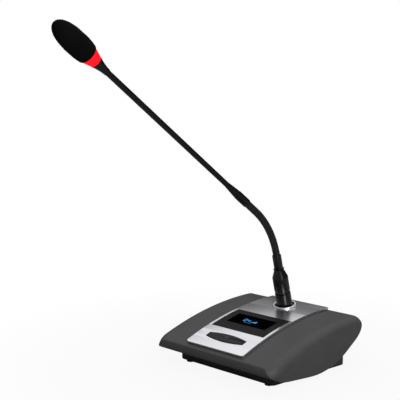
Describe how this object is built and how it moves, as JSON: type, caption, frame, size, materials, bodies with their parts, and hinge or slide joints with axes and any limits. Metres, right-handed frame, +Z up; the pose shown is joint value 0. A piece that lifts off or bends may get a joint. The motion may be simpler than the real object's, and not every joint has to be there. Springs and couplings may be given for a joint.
{
  "type": "gooseneck podium microphone",
  "caption": "Desk microphone: arched base with a silver plate, display and talk bar, plug-in gooseneck stem, lit ring and foam windscreen.",
  "frame": {"origin": "middle of the whole object's footprint box, on the surface that the four feet stand on", "axes": "+Z up, +X to the speaker's right, -Y towards the speaker"},
  "size_m": [0.18, 0.3816, 0.3902],
  "materials": {
    "charcoal_shell": "fine moulded texture, satin",
    "black_shell": "moulded, matt",
    "button_black": "smooth, satin",
    "plate_silver": "satin anodised, fine grain",
    "bezel_black": "satin black",
    "screen_glass": "glossy black window",
    "rubber": "matt",
    "circuit_board": "green solder mask",
    "zinc_steel": "zinc plated",
    "socket_black": "black",
    "chrome_trim": "polished",
    "gold_contact": "gold flash",
    "plug_black": "satin black",
    "gooseneck_black": "fine ribbed, satin black",
    "tube_black": "satin black",
    "light_red": "translucent, lit",
    "basket_black": "perforated mesh, black",
    "foam_black": "open cell foam"
  },
  "bodies": {
    "base": {"top_cover": "charcoal_shell", "bottom_pan": "black_shell", "trim_plate": "plate_silver", "display_bezel": "bezel_black", "display_window": "screen_glass", "display_module": "black_shell", "talk_switch": "black_shell", "button_board": "circuit_board", "main_board": "circuit_board", "ballast_plate": "zinc_steel", "foot_front_left": "rubber", "foot_front_right": "rubber", "foot_back_left": "rubber", "foot_back_right": "rubber", "case_screw_1": "zinc_steel", "case_screw_2": "zinc_steel", "case_screw_3": "zinc_steel", "case_screw_4": "zinc_steel", "bus_socket_left": "black_shell", "bus_socket_right": "black_shell", "stem_socket": "socket_black", "socket_core": "black_shell", "socket_trim_ring": "chrome_trim", "socket_screw_1": "zinc_steel", "socket_screw_2": "zinc_steel", "socket_contact_1": "gold_contact", "socket_contact_2": "gold_contact", "socket_contact_3": "gold_contact"},
    "talk_button": {"talk_button": "button_black"},
    "plug": {"plug_shell": "plug_black", "plug_insert": "black_shell", "plug_pin_1": "gold_contact", "plug_pin_2": "gold_contact", "plug_pin_3": "gold_contact", "gland_collar": "plug_black", "gooseneck_root": "gooseneck_black"},
    "lock_ring": {"lock_ring": "plug_black"},
    "link_1": {"gooseneck_link_1": "gooseneck_black"},
    "link_2": {"gooseneck_link_2": "gooseneck_black"},
    "link_3": {"gooseneck_link_3": "gooseneck_black"},
    "link_4": {"gooseneck_link_4": "gooseneck_black"},
    "link_5": {"gooseneck_link_5": "gooseneck_black"},
    "link_6": {"gooseneck_link_6": "gooseneck_black"},
    "link_7": {"gooseneck_link_7": "gooseneck_black"},
    "link_8": {"gooseneck_link_8": "gooseneck_black"},
    "stem": {"gooseneck_tip": "gooseneck_black", "coupling_sleeve": "tube_black", "upper_tube": "tube_black", "mic_housing": "tube_black", "light_ring": "light_red", "light_board": "circuit_board", "grille_basket": "basket_black", "capsule": "zinc_steel"},
    "windscreen": {"windscreen": "foam_black"}
  },
  "joints": [
    {"name": "talk_button_press", "type": "slide", "parent": "base", "child": "talk_button", "axis": [0, 0.2702, -0.9628], "range_m": [0, 0.001], "stiffness_N_per_m": 600, "springref_m": -0.001},
    {"name": "stem_unplug", "type": "slide", "parent": "base", "child": "plug", "axis": [0, -0.2605, 0.9655], "range_m": [0, 0.035]},
    {"name": "lock_ring_turn", "type": "hinge", "parent": "plug", "child": "lock_ring", "pos_m": [0, 0.15527, 0.0619], "axis": [0, -0.2605, 0.9655], "range_deg": [0, 90]},
    {"name": "neck_tilt_1", "type": "hinge", "parent": "plug", "child": "link_1", "pos_m": [0, 0.13674, 0.13008], "axis": [1, 0, 0], "range_deg": [-11, 9]},
    {"name": "neck_swing_1", "type": "hinge", "parent": "link_1", "child": "link_2", "pos_m": [0, 0.13308, 0.13972], "axis": [0, 0.9161, 0.4011], "range_deg": [-9, 9]},
    {"name": "neck_tilt_2", "type": "hinge", "parent": "link_2", "child": "link_3", "pos_m": [0, 0.12849, 0.14894], "axis": [1, 0, 0], "range_deg": [-11, 9]},
    {"name": "neck_swing_2", "type": "hinge", "parent": "link_3", "child": "link_4", "pos_m": [0, 0.12299, 0.15766], "axis": [0, 0.8188, 0.5741], "range_deg": [-9, 9]},
    {"name": "neck_tilt_3", "type": "hinge", "parent": "link_4", "child": "link_5", "pos_m": [0, 0.11667, 0.1658], "axis": [1, 0, 0], "range_deg": [-11, 9]},
    {"name": "neck_swing_3", "type": "hinge", "parent": "link_5", "child": "link_6", "pos_m": [0, 0.10956, 0.17326], "axis": [0, 0.6892, 0.7245], "range_deg": [-9, 9]},
    {"name": "neck_tilt_4", "type": "hinge", "parent": "link_6", "child": "link_7", "pos_m": [0, 0.10175, 0.17999], "axis": [1, 0, 0], "range_deg": [-11, 9]},
    {"name": "neck_swing_4", "type": "hinge", "parent": "link_7", "child": "link_8", "pos_m": [0, 0.0934, 0.18604], "axis": [0, 0.5793, 0.8151], "range_deg": [-9, 9]},
    {"name": "neck_tilt_5", "type": "hinge", "parent": "link_8", "child": "stem", "pos_m": [0, 0.085, 0.19201], "axis": [1, 0, 0], "range_deg": [-11, 9]},
    {"name": "windscreen_pull", "type": "slide", "parent": "stem", "child": "windscreen", "axis": [0, -0.8151, 0.5793], "range_m": [0, 0.05]}
  ]
}
